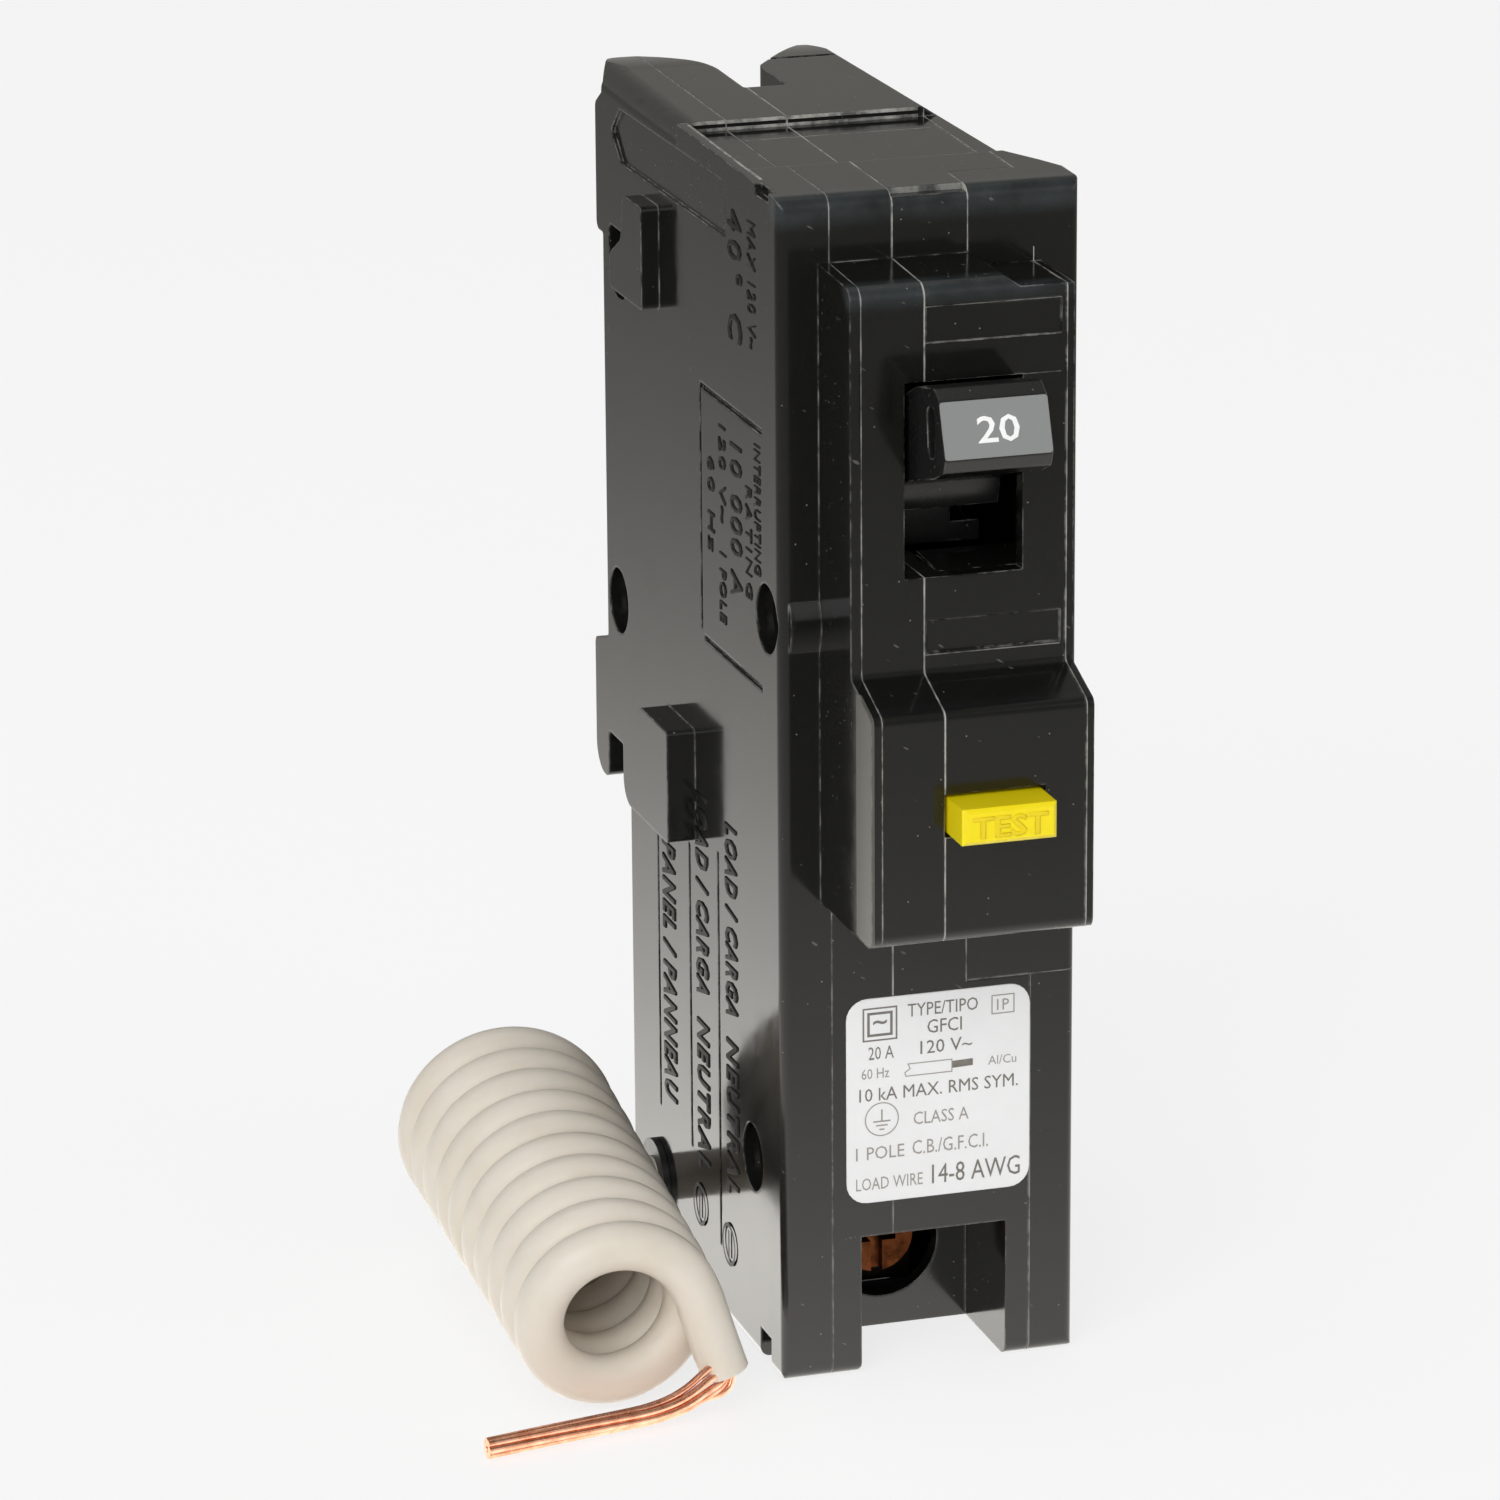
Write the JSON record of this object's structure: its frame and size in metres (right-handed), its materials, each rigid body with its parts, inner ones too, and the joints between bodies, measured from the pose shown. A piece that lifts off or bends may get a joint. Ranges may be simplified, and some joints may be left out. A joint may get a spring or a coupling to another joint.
{
  "type": "gfci breaker",
  "caption": "Single-pole plug-on ground-fault circuit breaker with handle, test button and a coiled neutral pigtail with a bare end.",
  "frame": {"origin": "centre of the breaker's own footprint, at the level of its underside, pigtail left out", "axes": "+Z from the load end up to the line end, +Y from the handle towards the panel, +X from the pigtail side to the flat side"},
  "size_m": [0.0534, 0.072, 0.1014],
  "materials": {
    "case_black": "moulded phenolic, glossy",
    "handle_black": "moulded nylon",
    "button_yellow": "moulded",
    "steel": "zinc plated",
    "copper": "bare copper",
    "silver": "silver alloy",
    "bimetal": "rolled",
    "fibre": "vulcanised fibre",
    "aluminium": "tin plated",
    "bronze_screw": "dulled",
    "brass": "plated",
    "board_green": "glass epoxy laminate",
    "component_black": "moulded",
    "varistor_blue": "dipped epoxy",
    "trip_white": "moulded",
    "wire_cream": "extruded vinyl"
  },
  "bodies": {
    "case": {"side_cover": "case_black", "electronics_case": "case_black", "mechanism_case": "case_black", "mechanism_cover": "case_black", "case_rivets": "steel", "test_spring": "steel", "test_contact": "copper", "line_jaw": "copper", "fixed_contact": "silver", "arc_chute": "fibre", "arc_plates": "steel", "bimetal": "bimetal", "magnet_yoke": "steel", "armature_pin": "steel", "load_strap": "copper", "braid": "copper", "load_lug": "aluminium", "neutral_terminal": "brass", "circuit_board": "board_green", "board_parts": "component_black", "fault_sensor": "component_black", "neutral_sensor": "component_black", "varistor": "varistor_blue", "solenoid_coil": "copper", "solenoid_frame": "steel", "pigtail_grommet": "handle_black", "pigtail_lead": "wire_cream", "pigtail_coil": "wire_cream", "pigtail_tail": "wire_cream", "pigtail_copper": "copper"},
    "handle": {"handle": "handle_black"},
    "arm": {"contact_arm": "copper", "moving_contact": "silver", "toggle_spring": "steel"},
    "cradle": {"cradle": "steel"},
    "armature": {"armature": "steel"},
    "plunger": {"solenoid_plunger": "steel"},
    "trip_bar": {"trip_bar": "trip_white"},
    "button": {"test_button": "button_yellow"},
    "load_screw": {"load_screw": "bronze_screw"},
    "neutral_screw": {"neutral_screw": "brass"}
  },
  "joints": [
    {"name": "handle_pivot", "type": "hinge", "parent": "case", "child": "handle", "pos_m": [0.00125, -0.015, 0.0786], "axis": [1, 0, 0], "range_deg": [0, 30]},
    {"name": "contact_arm_pivot", "type": "hinge", "parent": "case", "child": "arm", "pos_m": [0.00435, -0.005, 0.071], "axis": [1, 0, 0], "range_deg": [0, 12]},
    {"name": "cradle_pivot", "type": "hinge", "parent": "case", "child": "cradle", "pos_m": [0.0077, -0.0085, 0.0555], "axis": [1, 0, 0], "range_deg": [0, 12]},
    {"name": "plunger_slide", "type": "slide", "parent": "case", "child": "plunger", "axis": [0, 1, 0], "range_m": [0, 0.001], "stiffness_N_per_m": 60, "springref_m": -0.002},
    {"name": "trip_bar_pivot", "type": "hinge", "parent": "case", "child": "trip_bar", "pos_m": [0.00055, 0.008, 0.0665], "axis": [1, 0, 0], "range_deg": [0, 4.1]},
    {"name": "armature_pivot", "type": "hinge", "parent": "case", "child": "armature", "pos_m": [0.00535, 0.0143, 0.057], "axis": [1, 0, 0], "range_deg": [0, 9.65]},
    {"name": "test_button_slide", "type": "slide", "parent": "case", "child": "button", "axis": [0, 1, 0], "range_m": [0, 0.0015], "stiffness_N_per_m": 150, "springref_m": -0.001},
    {"name": "load_screw_turn", "type": "hinge", "parent": "case", "child": "load_screw", "pos_m": [0.00055, -0.006, 0.0074], "axis": [0, 1, 0], "continuous": true},
    {"name": "neutral_screw_turn", "type": "hinge", "parent": "case", "child": "neutral_screw", "pos_m": [-0.00665, 0.0084, 0.005], "axis": [0, 0, 1], "continuous": true}
  ],
  "couplings": [
    {"joint": "contact_arm_pivot", "follows": "handle_pivot", "ratio": 0.4},
    {"joint": "trip_bar_pivot", "follows": "plunger_slide", "rad_per_m": 71},
    {"joint": "armature_pivot", "follows": "plunger_slide", "rad_per_m": 168}
  ]
}
